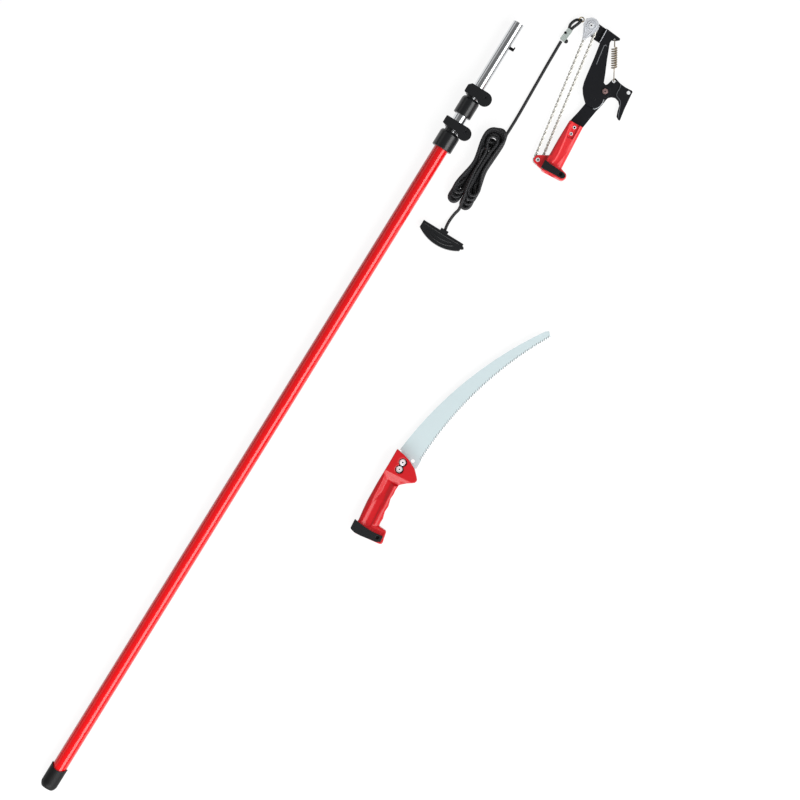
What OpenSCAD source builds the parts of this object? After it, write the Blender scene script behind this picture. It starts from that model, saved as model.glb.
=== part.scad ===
// Telescoping pole saw kit, laid out flat on the ground: a three-section pole, a rope pruner head and a
// curved saw head. Either head pushes on to the pole's tip and is held there by the snap button.
// Each item is drawn in a frame of its own, with +Y towards its tip, +X to its right and +Z up, and
// on_pole(), on_pruner() and on_saw() lay it down. Millimetres.

/* [Pole] */
// Outer diameter of the base tube
base_d = 28.6; // [28.4:0.1:28.8]
// Wall of every tube
tube_wall = 1.5; // [1.4:0.1:1.6]
// Gap round a tube that slides in the next one
slide_gap = 0.1; // [0.05:0.05:0.1]
// Length of the closed pole from cap to tip
pole_len = 1707; // [1690:1:1760]
// Radius of the rubber end cap
cap_r = 16.4; // [16:0.1:17]
// Length of the rubber end cap
cap_len = 50; // [44:1:56]
// Distance from the tip back to the snap button
button_back = 49; // [46:1:52]
// Radius of the snap button
button_r = 3; // [2.5:0.1:3.2]

/* [Collars] */
// Where the lower collar starts
lower_y = 1427; // [1420:1:1430]
// Radius of the lower collar's sleeve
lower_r = 20.3; // [19.8:0.1:21]
// Where the upper collar starts
upper_y = 1501; // [1499:1:1505]
// Radius of the upper collar's sleeve
upper_r = 18; // [17.6:0.1:18.5]
// Radius of the clamp bolts
bolt_r = 2.5; // [2.3:0.1:2.6]
// Thickness of the lock levers
lock_t = 6; // [5:0.5:6.5]

/* [Heads] */
// Height of the socket and handle axis above the ground
axis_z = 15; // [15:0.1:15.3]
// Gap round the pole's tip in a socket
socket_gap = 0.1; // [0.05:0.05:0.2]
// Depth of a socket
socket_deep = 60; // [58:1:62]
// Thickness of the latch levers
latch_t = 5.5; // [5:0.5:6]
// Thickness of the saw blade
saw_t = 1.8; // [1.4:0.1:2]
// Number of tooth pairs on the saw blade
tooth_pairs = 40; // [30:1:44]
// Radius of the chain's envelope
chain_r = 1.9; // [1.6:0.1:1.9]

/* [Rope] */
// Diameter of the pull rope
rope_d = 6; // [5:0.5:6]
// Height of the coiled hank
hank_h = 30; // [24:1:34]

/* [Layout] */
// Pole axis, across
pole_x = -171; // [-175:1:-165]
// Bottom of the end cap, along
pole_y = -896; // [-900:1:-890]
// Pruner head, across
pruner_x = 33; // [28:1:40]
// Pruner head, along
pruner_y = 605; // [600:1:610]
// Turn of the pruner head
pruner_turn = 3.6; // [3:0.1:4.2]
// Saw head, across
saw_x = 95; // [88:1:100]
// Saw head, along
saw_y = -170; // [-176:1:-164]
// Turn of the saw head
saw_turn = 4.75; // [4:0.05:5.5]

/* [Hidden] */
$fn = 64;
eps = 0.01;
fit = 0.05;

// Tube radii, outside and inside, from the base section to the top one
base_r = base_d / 2;
base_in = base_r - tube_wall;
mid_r = base_in - slide_gap;
mid_in = mid_r - tube_wall;
top_r = mid_in - slide_gap;
top_in = top_r - tube_wall;

// Stations along the pole
cap_floor = 4;
cap_round = 12;
seat = 28;
mid_start = 62;
top_start = 95;
bush_len = 12;
spigot_len = 16;
button_y = pole_len - button_back;
button_reach = 19.5;

// The pole lies on its cap and on its lower collar
pole_tilt = atan((lower_r - cap_r) / (lower_y - cap_round));
pole_z = cap_r * cos(pole_tilt) - cap_round * sin(pole_tilt);

// Clamp collars: [start, sleeve radius, sleeve length, neck length, ring length, outer tube radius,
// bore radius, bolt distance from the axis, lever head radius, lever head drop below the bolt, height of
// the lever's bed above the axis, which on the lower collar lets its lever pass over the upper sleeve]
lower = [lower_y, lower_r, 35, 6, 17.5, base_r, base_in, 23.5, 13.3, 4.8, upper_r + 0.2];
upper = [upper_y, upper_r, 36, 4, 21, mid_r, mid_in, 21.5, 13.8, 3.5, 13.9];
ring_wall = 4.7;
ear_drop = 13;
slit = 2.4;
bolt_head_r = 4.4;
bolt_head_t = 2.2;
nut_r = 4.7;
nut_t = 3.5;

// Sockets of the heads
socket_r = top_r + socket_gap;
flange_top = axis_z + socket_r + 2.5;
latch_z = flange_top + 0.2;
latch_pin_r = 2.5;

// Pruner head stations, [x, y]
pr_axis = -4.5;
pr_mouth = -7.5;
pivot = [15, 182];
top_wheel = [-67, 280.5];
low_wheel = [-36.5, 7];
wheel_z = 11;
low_pitch = 6.65;
top_pitch = 12.2;
eyelet = [20.5, 208];
spring_hole = [-15.5, 278];
chain_tie = [-67.5, 252];
chain_leave = 115;
end_ring = [-88.5, 282.5];
clip_end = [-103, 231];
clip_turn = -9.4;
plate_lo = 6;
plate_hi = 10;
blade_lo = 10.1;
blade_hi = 13.1;
arm_lo = 13.2;
arm_hi = 16.2;
pin_r = 4;

// Saw head stations, [x, y]
sw_axis = -9.3;
sw_mouth = -4;
saw_screw = [[-2, 142], [-2, 156.5]];
back_arc = [708, 48, 737];
tooth_arc = [728, 107, 704];

// Rope routes, laid on the ground, and the coiled hank's outline about its centre
rope_r = rope_d / 2;
lead_route = [[-85, 827, rope_r], [-84, 780, rope_r], [-82, 720, rope_r], [-80, 660, rope_r],
              [-80, 620, rope_r]];
tail_route = [[-82, 460, rope_r], [-84, 445, rope_r], [-86, 430, rope_r], [-86, 416, 5],
              [-84, 404.6, 8]];
loop_route = [[-101.5, 257, 4.5], [-103, 266, 5], [-98, 277, 6.5], [-90, 281, 9], [-88.5, 279.5, 13],
              [-91, 272, 12], [-96, 262, 6], [-97, 257, 4.5]];
hank_at = [-91, 542];
hank_outline = [[-23, 75], [-12, 79], [0, 87], [6, 88], [14, 81], [20, 58], [18, 23], [16, 0], [18, -27],
                [25, -69], [21, -84], [10, -88], [-18, -88], [-26, -69], [-22, -37], [-17, 0], [-22, 28],
                [-26, 58]];

// ---- placement -------------------------------------------------------------------------------------

module on_pole() translate([pole_x, pole_y, pole_z]) rotate([pole_tilt, 0, 0]) children();
module on_pruner() translate([pruner_x, pruner_y, 0]) rotate([0, 0, pruner_turn]) children();
module on_saw() translate([saw_x, saw_y, 0]) rotate([0, 0, saw_turn]) children();

// Turns a shape built along +Z to run along +Y
module along_y() rotate([-90, 0, 0]) children();

// Moves 2D shapes up to a slab between two heights
module slab(z0, z1) translate([0, 0, z0]) linear_extrude(z1 - z0) children();

// A round bar along +Y through [x, z]
module bar_y(x, z, y0, y1, r) translate([x, y0, z]) along_y() cylinder(h = y1 - y0, r = r);

// A vertical pin
module pin(at, z0, z1, r) translate([at[0], at[1], z0]) cylinder(h = z1 - z0, r = r);

// A prism with six flats, r to its corners
module hex(at, z0, z1, r) translate([at[0], at[1], z0]) cylinder(h = z1 - z0, r = r, $fn = 6);

// A tube between two stations of the pole
module tube_y(r_out, r_in, y0, y1) {
  along_y() rotate_extrude() polygon([[r_in, y0], [r_out, y0], [r_out, y1], [r_in, y1]]);
}

// A bar along +Y with a rounded rectangular section, centred on [x, z]
module round_bar(x, z, y0, y1, w, h, r) {
  translate([x, y1, z]) rotate([90, 0, 0]) linear_extrude(y1 - y0) union() {
    square([w - 2 * r, h], center = true);
    square([w, h - 2 * r], center = true);
    for (sx = [-1, 1], sy = [-1, 1]) translate([sx * (w / 2 - r), sy * (h / 2 - r)]) circle(r);
  }
}

// ---- swept rope ------------------------------------------------------------------------------------

rope_sides = 10;
rope_step = 14;

function unit(v) = v / norm(v);
function catmull(p0, p1, p2, p3, t) =
  0.5 * (2 * p1 + (p2 - p0) * t + (2 * p0 - 5 * p1 + 4 * p2 - p3) * t * t
         + (3 * p1 - p0 - 3 * p2 + p3) * t * t * t);
function route_point(p, i, t) =
  catmull(p[max(i - 1, 0)], p[i], p[i + 1], p[min(i + 2, len(p) - 1)], t);
function smooth_route(p, step) = concat(
  [for (i = [0 : len(p) - 2]) let (n = max(1, round(norm(p[i + 1] - p[i]) / step)))
     for (k = [0 : n - 1]) route_point(p, i, k / n)],
  [p[len(p) - 1]]);

// One closed tube of radius r and m sides through the points q
module swept_tube(q, r, m) {
  n = len(q);
  rings = [for (i = [0 : n - 1])
    let (d = unit(q[min(i + 1, n - 1)] - q[max(i - 1, 0)]), s = unit(cross(d, [0, 0, 1])), u = cross(s, d))
      for (k = [0 : m - 1]) q[i] + r * (cos(360 * k / m) * s + sin(360 * k / m) * u)];
  sides = [for (i = [0 : n - 2], k = [0 : m - 1]) let (a = i * m + k, b = i * m + (k + 1) % m)
    each [[a, a + m, b + m], [a, b + m, b]]];
  ends = [[for (k = [0 : m - 1]) k], [for (k = [m - 1 : -1 : 0]) (n - 1) * m + k]];
  polyhedron(rings, concat(sides, ends));
}

module rope_tube(p, r, step) swept_tube(smooth_route(p, step), r, rope_sides);

// ---- pole ------------------------------------------------------------------------------------------

module base_tube() color("crimson") on_pole() tube_y(base_r, base_in, cap_floor, lower_y + seat);

module end_cap() color("#202124") on_pole() {
  lip_dip = 9;
  lip_r = (pow(cap_r, 2) + pow(lip_dip, 2)) / (2 * lip_dip);
  difference() {
    along_y() rotate_extrude() union() {
      polygon([[0, cap_round], [cap_r, cap_round], [cap_r, cap_len - 5], [cap_r + 0.4, cap_len - 2],
               [cap_r, cap_len], [0, cap_len]]);
      intersection() {
        translate([0, cap_round]) circle(cap_r);
        translate([0, 0]) square([cap_r, cap_round]);
      }
    }
    tube_y(base_r, 0, cap_floor, cap_len + 1);
    translate([0, cap_len - lip_dip + lip_r, -2 * cap_r]) cylinder(h = 4 * cap_r, r = lip_r);
  }
}

// Stations of a collar c: end of its sleeve, start and end of its clamp ring, and its bolt
function sleeve_end(c) = c[0] + c[2];
function ring_start(c) = sleeve_end(c) + c[3];
function ring_end(c) = ring_start(c) + c[4];
function bolt_at(c) = [c[7], ring_start(c) + c[4] / 2];
function ring_out(c) = c[6] + ring_wall;
function flat_z(c) = c[10];

module clamp_collar(c) {
  edge = 1;
  chamfer = 4;
  difference() {
    union() {
      along_y() rotate_extrude()
        polygon([[c[5], c[0]], [c[1] - edge, c[0]], [c[1], c[0] + edge], [c[1], sleeve_end(c) - chamfer],
                 [c[1] - chamfer / 2, sleeve_end(c)], [c[6] + 2, sleeve_end(c)], [c[6] + 2, ring_start(c)],
                 [ring_out(c), ring_start(c)], [ring_out(c), ring_end(c)], [c[6], ring_end(c)],
                 [c[6], c[0] + seat], [c[5], c[0] + seat]]);
      pin(bolt_at(c), -ear_drop, flat_z(c), c[4] / 2);
      translate([c[6], ring_start(c), -ear_drop]) cube([c[7] - c[6], c[4], ear_drop + flat_z(c)]);
    }
    translate([-2 * c[1], ring_start(c) - 1, flat_z(c)]) cube([4 * c[1], c[4] + 2, c[1]]);
    bar_y(0, 0, c[0] + seat, ring_end(c) + 1, c[6]);
    translate([0, sleeve_end(c) + 1, -slit / 2]) cube([4 * c[1], c[4] + c[3], slit]);
    translate([0, sleeve_end(c) + 1, -c[1]]) cube([4 * c[1], c[3] - 1, 2 * c[1]]);
    pin(bolt_at(c), -c[1], c[1], bolt_r + fit);
    hex(bolt_at(c), -ear_drop - 1, -ear_drop + nut_t, nut_r + fit);
  }
}

module clamp_bolt(c) {
  top = flat_z(c) + 0.1 + lock_t;
  difference() {
    union() {
      pin(bolt_at(c), -ear_drop, top - bolt_head_t, bolt_r);
      pin(bolt_at(c), top - bolt_head_t, top - 0.2, bolt_head_r);
    }
    hex(bolt_at(c), top - bolt_head_t + 0.6, top, 2);
  }
}

module clamp_nut(c) difference() {
  hex(bolt_at(c), -ear_drop, -ear_drop + nut_t, nut_r);
  pin(bolt_at(c), -ear_drop - 1, 0, bolt_r);
}

module lock_lever(c, reach, cut) {
  z0 = flat_z(c) + 0.1;
  difference() {
    slab(z0, z0 + lock_t) union() {
      translate([c[7], bolt_at(c)[1] - c[9]]) circle(c[8]);
      polygon([[c[7], ring_start(c)], [c[7], ring_end(c)], [cut[0], ring_end(c)], [-reach, cut[1]],
               [-reach, cut[2]], [cut[3], ring_start(c)]]);
    }
    pin(bolt_at(c), z0 - 1, z0 + lock_t + 1, bolt_r + fit);
    pin(bolt_at(c), z0 + lock_t - bolt_head_t - 0.1, z0 + lock_t + 1, bolt_head_r + 0.2);
  }
}

module lower_collar() color("#1b1c1e") on_pole() clamp_collar(lower);
module lower_clamp_bolt() color("silver") on_pole() clamp_bolt(lower);
module lower_clamp_nut() color("silver") on_pole() clamp_nut(lower);
module lower_lock_lever() color("#232427") on_pole()
  lock_lever(lower, 23.5, [-22, ring_end(lower) - 1.5, ring_start(lower) + 2, -17]);

module mid_tube() color("gainsboro") on_pole() tube_y(mid_r, mid_in, mid_start, upper_y + seat);

// A guide bush pressed in a tube's inner end
module tube_bush(r_out, r_in, y) on_pole() along_y() rotate_extrude()
  polygon([[r_in - 3, y - bush_len], [r_out, y - bush_len], [r_out, y], [r_in, y], [r_in, y + spigot_len],
           [r_in - 3, y + spigot_len]]);

module mid_tube_bush() color("dimgray") tube_bush(mid_r, mid_in, mid_start);

module upper_collar() color("#1b1c1e") on_pole() clamp_collar(upper);
module upper_clamp_bolt() color("silver") on_pole() clamp_bolt(upper);
module upper_clamp_nut() color("silver") on_pole() clamp_nut(upper);
module upper_lock_lever() color("#232427") on_pole()
  lock_lever(upper, 20, [-14, ring_end(upper) - 6, ring_start(upper) + 2, -18]);

module top_tube() color("gainsboro") on_pole() difference() {
  tube_y(top_r, top_in, top_start, pole_len);
  translate([0, button_y, 0]) rotate([0, 90, 0]) cylinder(h = 2 * top_r, r = button_r + fit);
}

module top_tube_bush() color("dimgray") tube_bush(top_r, top_in, top_start);

module snap_button() color("silver") on_pole() union() {
  collar_r = 4.2;
  collar_x = 6.2;
  fin_x = 17;
  translate([collar_x, button_y, 0]) rotate([0, 90, 0]) {
    cylinder(h = button_reach - 1 - collar_x, r = button_r);
    cylinder(h = 1.7, r = collar_r);
  }
  translate([fin_x, button_y - 2, -1.5]) cube([button_reach - fin_x, 8, 3]);
}

// The bent leaf that pushes the button out
module button_spring() color("lightsteelblue") on_pole() {
  strip = 0.8;
  pad = 6.1;
  back = -9;
  bend_y = button_y - 32;
  slab(-3, 3) polygon([[pad, button_y + 6], [pad, button_y - 6], [-2 + strip, bend_y], [-2, bend_y - 2],
                       [-4, bend_y - 2], [back, button_y - 10], [back, button_y + 6],
                       [back + strip, button_y + 6], [back + strip, button_y - 10], [-3.2, bend_y],
                       [-2.4, bend_y], [pad - strip, button_y - 6], [pad - strip, button_y + 6]]);
}

// ---- pruner head -----------------------------------------------------------------------------------

pr_button = [pr_axis, pr_mouth + socket_deep - button_back];
pr_latch_at = [14.5, 1.5];
pr_rivets = [[-4, 79.5], [-4, 93]];

// The socket bore and the window that the snap button comes up through
module socket_cut(x, mouth, window) {
  bar_y(x, axis_z, mouth, mouth + socket_deep, socket_r);
  bar_y(x, axis_z, mouth - 1, mouth + eps, socket_r);
  pin(window, axis_z, flange_top + 10, button_r + 0.3);
}

// The part of the frame plate inside the handle
module plate_tang() translate([-12, 62]) square([16, 40]);

module pruner_handle() color("#e8403f") on_pruner() difference() {
  union() {
    intersection() {
      slab(0, 2 * axis_z)
        polygon([[-18.5, 101], [-21, 60], [-22, 13], [11, 13], [10.5, 60], [10, 101]]);
      round_bar(-5.5, axis_z, 0, 101, 34, 2 * axis_z, 10);
    }
    slab(0, flange_top) union() {
      polygon([[-22, 26], [-22, -6], [-20, pr_mouth], [18, pr_mouth], [18, 9.5], [10, 13]]);
      translate([18, 1]) circle(8.5);
    }
    slab(3.5, 18.5) union() {
      polygon([[-20, 26], [-43, 14.5], [-36, -1.5], [-20, -6]]);
      translate(low_wheel) circle(8.5);
    }
  }
  socket_cut(pr_axis, pr_mouth, pr_button);
  translate([-50, -10, wheel_z - 4]) cube([23.2, 40, 8]);
  slab(plate_lo, plate_hi) plate_tang();
  slab(2 * axis_z - 4, 2 * axis_z + 1) translate([-11, 71]) square([14, 31]);
  for (p = pr_rivets) {
    pin(p, 0, 2 * axis_z, 2);
    pin(p, -1, 2, 3.4);
  }
  pin(low_wheel, 0, 20, 2);
  pin(pr_latch_at, axis_z, flange_top + 1, latch_pin_r);
}

// A latch lever slab from its outline, with its pin hole and the pocket for the snap button
module latch_lever(at, window) difference() {
  slab(latch_z, latch_z + latch_t) children();
  pin(at, latch_z - 1, latch_z + latch_t + 1, latch_pin_r + fit);
  pin(at, latch_z + latch_t - 1.5, latch_z + latch_t + 1, 3.6);
  pin(window, latch_z - 1, latch_z + latch_t - 1, button_r + 0.6);
}

module latch_pin(at) union() {
  pin(at, axis_z, latch_z + latch_t - 0.2, latch_pin_r);
  pin(at, latch_z + latch_t - 1.4, latch_z + latch_t - 0.2, 3.4);
}

module pruner_latch_lever() color("#1b1c1e") on_pruner() latch_lever(pr_latch_at, pr_button)
  polygon([[-24.5, -4.5], [-24.5, 12], [-10, 10], [10, 7.5], [20, 6.3], [23.5, 4.5], [24.5, 1.5],
           [23.5, -2.5], [20, -4.5]]);

module pruner_latch_pin() color("dimgray") on_pruner() latch_pin(pr_latch_at);

module handle_rivets() color("silver") on_pruner() for (p = pr_rivets) difference() {
  union() {
    pin(p, 0.6, 2 * axis_z - 2.8, 2);
    pin(p, 0.6, 2, 3.2);
    pin(p, 2 * axis_z - 4, 2 * axis_z - 2.8, 3.2);
  }
  pin(p, 2 * axis_z - 6, 2 * axis_z, 1.4);
}

module frame_plate() color("#26272a") on_pruner() difference() {
  slab(plate_lo, plate_hi) union() {
    plate_tang();
    polygon([[-18, 101.2], [10, 101.2], [14.5, 125], [17.5, 140], [22.5, 158], [24.5, 170], [26, 174.5],
             [31, 179], [38, 181], [46, 178.5], [51.5, 172], [54, 160], [57, 151], [63, 147], [66, 147.5],
             [63.5, 170], [62, 200], [62, 206], [60, 208], [45, 208], [35, 209.5], [24, 213.5],
             [20.5, 214.5], [17, 210.5], [13, 198], [7, 190.5], [-3, 184], [-7, 165], [-7.5, 143.5],
             [-11.5, 125]]);
  }
  pin(pivot, 0, 20, pin_r);
  pin(eyelet, 0, 20, 2);
  pin([55.5, 201.5], 0, 20, 2);
  for (p = pr_rivets) pin(p, 0, 20, 2);
}

module hook_cheek() color("#303134") on_pruner() difference() {
  slab(plate_hi, plate_hi + 2.5)
    polygon([[34, 209.6], [45, 208], [60, 208], [62, 206], [62, 200], [63.5, 170], [66, 147.5], [63, 147],
             [60, 152], [57, 158], [55, 165], [50, 178], [46, 181.5], [39, 184.5], [36, 190], [36, 197],
             [37.5, 202]]);
  pin([55.5, 201.5], 0, 20, 2);
}

module hook_rivet() color("silver") on_pruner() union() {
  pin([55.5, 201.5], plate_lo, plate_hi + 2.5, 2);
  pin([55.5, 201.5], plate_hi + 2.5, plate_hi + 3.6, 3.5);
  pin([55.5, 201.5], plate_lo - 1, plate_lo, 3.5);
}

module spring_eyelet() color("silver") on_pruner() difference() {
  union() {
    pin(eyelet, plate_lo, plate_hi, 2);
    pin(eyelet, plate_hi, plate_hi + 1.2, 3.3);
    pin(eyelet, plate_lo - 1.2, plate_lo, 3.3);
  }
  pin(eyelet, 0, 20, 1.3);
}

rivet_at = [4, 160];

module pruner_blade() color("silver") on_pruner() difference() {
  slab(blade_lo, blade_hi) union() {
    polygon([[10, 142], [13, 143], [19, 150], [21.5, 160], [21, 172], [15, 192], [-4, 200], [-10, 192],
             [-4, 172], [0, 155], [5, 144]]);
    translate(pivot) circle(10);
  }
  pin(pivot, 0, 20, pin_r + fit);
  pin(rivet_at, 0, 20, 2.5);
}

module lever_arm() color("#222326") on_pruner() difference() {
  union() {
    slab(arm_lo, arm_hi) union() {
      polygon([[-37, 288.8], [-7, 284.5], [-6, 281], [-12, 276.5], [-20, 273], [-20.5, 268], [-10, 237],
               [0, 211], [7, 190.5], [19, 172], [18.5, 160], [16, 151], [11, 145.5], [4, 143.5],
               [-2, 143.5], [-7.5, 144.5], [-13, 150], [-20, 158], [-26, 168], [-29, 180], [-31, 200],
               [-33.5, 230], [-37, 259.5]]);
      translate(pivot) circle(11);
    }
    slab(5, arm_hi) polygon([[-39, 289], [-36, 288.7], [-36, 259.5], [-39, 259.7]]);
    slab(5, 8) union() {
      polygon([[-37, 288.8], [-54, 291], [-66, 292.4], [-72, 268], [-50, 260.5], [-37, 259.5]]);
      translate(top_wheel) circle(12);
    }
  }
  pin(pivot, 0, 20, pin_r + fit);
  pin(rivet_at, 0, 20, 2.5);
  pin(spring_hole, 0, 20, 1.6);
  pin(top_wheel, 0, 20, 2.5);
}

module blade_rivet() color("#222326") on_pruner() pin(rivet_at, blade_lo, arm_hi, 2.5);

module pivot_bolt() color("silver") on_pruner() union() {
  hex(pivot, 0, plate_lo, 7);
  pin(pivot, plate_lo, arm_hi + 5, pin_r);
}

module pivot_nut() color("#b98a78") on_pruner() difference() {
  hex(pivot, arm_hi + 0.1, arm_hi + 4, 5.8);
  pin(pivot, 0, 30, pin_r);
}

// The coil's closed outline with its two straight hooked ends
module return_spring() color("#8d8a80") on_pruner() {
  wire = 0.9;
  coil_r = 6.25;
  run = norm(eyelet - spring_hole);
  turn = atan2(eyelet[1] - spring_hole[1], eyelet[0] - spring_hole[0]);
  coil_z = 13;
  high = coil_z + coil_r - 2 * wire;
  low = 12.3;
  translate([spring_hole[0], spring_hole[1], 0]) rotate([0, 0, turn]) union() {
    translate([14, 0, coil_z]) rotate([0, 90, 0]) cylinder(h = 42, r = coil_r);
    translate([0, 0, high]) rotate([0, 90, 0]) cylinder(h = 15, r = wire);
    pin([0, 0], arm_lo - 0.7, high + wire, wire);
    translate([55, 0, low]) rotate([0, 90, 0]) cylinder(h = run - 55, r = wire);
    pin([run, 0], plate_lo - 1, low + wire, wire);
  }
}

// A grooved wheel of pitch radius p on a pin of radius r
module grooved_wheel(at, p, half, r) translate([at[0], at[1], wheel_z]) rotate_extrude() difference() {
  translate([r + fit, -half]) square([p + 2.1 - r - fit, 2 * half]);
  translate([p, 0]) circle(chain_r + 0.15);
  translate([p, -chain_r - 0.15]) square([4, 2 * chain_r + 0.3]);
}

module top_pulley() color("#b9bcc0") on_pruner() grooved_wheel(top_wheel, top_pitch, 2.9, 2.5);

module pulley_bracket() color("#c3c6ca") on_pruner() {
  lo = 14.2;
  hi = 15.7;
  rim_r = 15.5;
  difference() {
    slab(lo, hi) union() {
      translate(top_wheel) circle(rim_r - 0.7);
      for (a = [0 : 20 : 340]) translate(top_wheel + (rim_r - 1.7) * [cos(a), sin(a)]) circle(1.7);
      polygon([[-79, 271], [-71.5, 253], [-70.5, 249.5], [-64.5, 249.5], [-64, 253], [-55, 271]]);
    }
    pin(top_wheel, 0, 20, 2.5 + fit);
    pin(chain_tie, 0, 20, 1.3);
  }
}

module top_pulley_screw() color("silver") on_pruner() difference() {
  union() {
    pin(top_wheel, 0.3, 16, 2.5);
    pin(top_wheel, 15.8, 17.9, 4.5);
  }
  translate([top_wheel[0], top_wheel[1], 17.5]) cube([10, 1.2, 1.4], center = true);
}

module top_pulley_nut() color("silver") on_pruner() difference() {
  hex(top_wheel, 0.6, 5, 5.2);
  pin(top_wheel, 0, 20, 2.5);
}

module lower_pulley() color("#b9bcc0") on_pruner() grooved_wheel(low_wheel, low_pitch, 3.7, 2);

module lower_pulley_rivet() color("silver") on_pruner() difference() {
  union() {
    pin(low_wheel, 2, 20, 2);
    pin(low_wheel, 2, 3.5, 4);
    pin(low_wheel, 18.5, 20, 4);
  }
  translate([low_wheel[0], low_wheel[1], 19.8]) cube([5, 1.2, 1.6], center = true);
}

// Touch point on a wheel (centre c, radius r) of the straight line from p that leaves it on side s
function touch(c, r, p, s) =
  let (v = p - c, d = norm(v), a = atan2(v[1], v[0]) + s * acos(r / d)) c + r * [cos(a), sin(a)];
// The right-hand run touches both wheels, at one angle
run_angle = atan2(top_wheel[1] - low_wheel[1], top_wheel[0] - low_wheel[0])
            - acos((low_pitch - top_pitch) / norm(top_wheel - low_wheel));
left_touch = touch(low_wheel, low_pitch, chain_tie, 1);
left_angle = atan2(left_touch[1] - low_wheel[1], left_touch[0] - low_wheel[0]);

// Points on a wheel's pitch circle between two angles
function wheel_arc(c, r, from, to, n) = [for (i = [0 : n]) let (a = from + (to - from) * i / n)
  [c[0] + r * cos(a), c[1] + r * sin(a), wheel_z]];

module chain() color("#b5b3a8") on_pruner() {
  over = wheel_arc(top_wheel, top_pitch, run_angle, chain_leave, 8);
  under = wheel_arc(low_wheel, low_pitch, left_angle < 0 ? left_angle : left_angle - 360, run_angle, 12);
  last = over[len(over) - 1] + 9.5 * [-sin(chain_leave), cos(chain_leave), 0];
  swept_tube(concat([[chain_tie[0], chain_tie[1], wheel_z]], under, over, [last]), chain_r, 8);
}

module chain_anchor() color("silver") on_pruner() union() {
  pin(chain_tie, 13.1, 15.7, 1.3);
  pin(chain_tie, 15.7, 16.7, 2.4);
}

module chain_end_ring() color("#c9a24a") on_pruner()
  translate([end_ring[0], end_ring[1], wheel_z]) rotate_extrude() translate([5.5, 0]) circle(1.4);

module rope_clip() color("#9a9c9f") on_pruner() translate(clip_end) rotate([0, 0, clip_turn]) difference() {
  slab(0.5, 8.5) union() {
    translate([-5.5, 2]) square([11, 22]);
    translate([-3.5, 0]) square([7, 26]);
    for (x = [-3.5, 3.5], y = [2, 24]) translate([x, y]) circle(2);
  }
  pin([-2.5, 15], 4, 9, 2);
}

module rope_loop() color("#17181a") on_pruner() rope_tube(loop_route, 2.6, 6);

module rope_knot() color("#17181a") on_pruner() translate([-95.6, 232, 4.5]) sphere(3.6);

module rope_lead() color("#17181a") rope_tube(lead_route, rope_r, rope_step);

module rope_hank() color("#17181a") slab(0, hank_h) translate(hank_at) polygon(hank_outline);

module rope_tail() color("#17181a") rope_tube(tail_route, rope_r, rope_step / 2);

module pull_handle() color("#1d1e20") {
  mid = [-84, 399.4];
  half = 44.3;
  bow_r = 81;
  thick = 16;
  difference() {
    slab(0, thick) union() {
      intersection() {
        translate([mid[0] - half, mid[1] - 30]) square([2 * half, 30]);
        translate([mid[0], mid[1] - 28.4 + bow_r]) circle(bow_r);
      }
      translate([mid[0] - 8, mid[1] - 2]) square([16, 7]);
      translate([mid[0] + half - 1, mid[1] - 9])
        polygon([[0, -2.5], [4, -1.5], [6.2, 1], [4, 4], [0, 5.5]]);
    }
    bar_y(mid[0], thick / 2, mid[1] - 18, mid[1] + 10, rope_r + 0.4);
  }
}

// ---- saw head --------------------------------------------------------------------------------------

sw_button = [sw_axis, sw_mouth + socket_deep - button_back];
sw_latch_at = [19.5, 8];
screw_floor = 24.5;
saw_head_top = 33;
blade_bed = axis_z - saw_t / 2;

function on_arc(arc, a) = [arc[0] + arc[2] * cos(a), arc[1] + arc[2] * sin(a)];

// Tooth edge: each pair of teeth has one deep and one shallow gullet
tooth_from = 174.4;
tooth_to = 146.5;
pair_a = (tooth_to - tooth_from) / tooth_pairs;
tooth_points = [for (i = [0 : tooth_pairs - 1]) let (a = tooth_from + i * pair_a)
  each [on_arc(tooth_arc, a), on_arc(tooth_arc + [0, 0, 2.6], a + 0.22 * pair_a),
        on_arc(tooth_arc, a + 0.45 * pair_a), on_arc(tooth_arc + [0, 0, 3.6], a + 0.72 * pair_a)]];
back_points = [for (i = [0 : 14]) on_arc(back_arc, 142 + i * 2)];

module saw_tang() polygon([[-14, 176], [-12, 132], [8, 132], [12, 148], [26.5, 158], [27.5, 176]]);

module saw_blade() color("#d2d5d8") on_saw() difference() {
  slab(blade_bed, blade_bed + saw_t) union() {
    polygon(concat([[27.5, 174]], tooth_points, [on_arc(tooth_arc, tooth_to), [133, 505]], back_points));
    saw_tang();
  }
  pin([14, 167.5], 0, 30, 3.6);
  for (p = saw_screw) pin(p, 0, 30, 2.5);
}

module saw_outline() polygon([
  [-23, 175], [-5, 170.5], [8, 165.5], [24, 155.5], [34, 144], [37.5, 139], [37.5, 136], [35.5, 132],
  [22, 124], [11, 115], [9.5, 103], [10, 95], [8.5, 85], [11.5, 70], [10, 58], [13, 44], [12, 35],
  [13, 28], [-27.5, 20], [-29, 45], [-29.5, 60], [-28, 100], [-25, 140]]);

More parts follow.
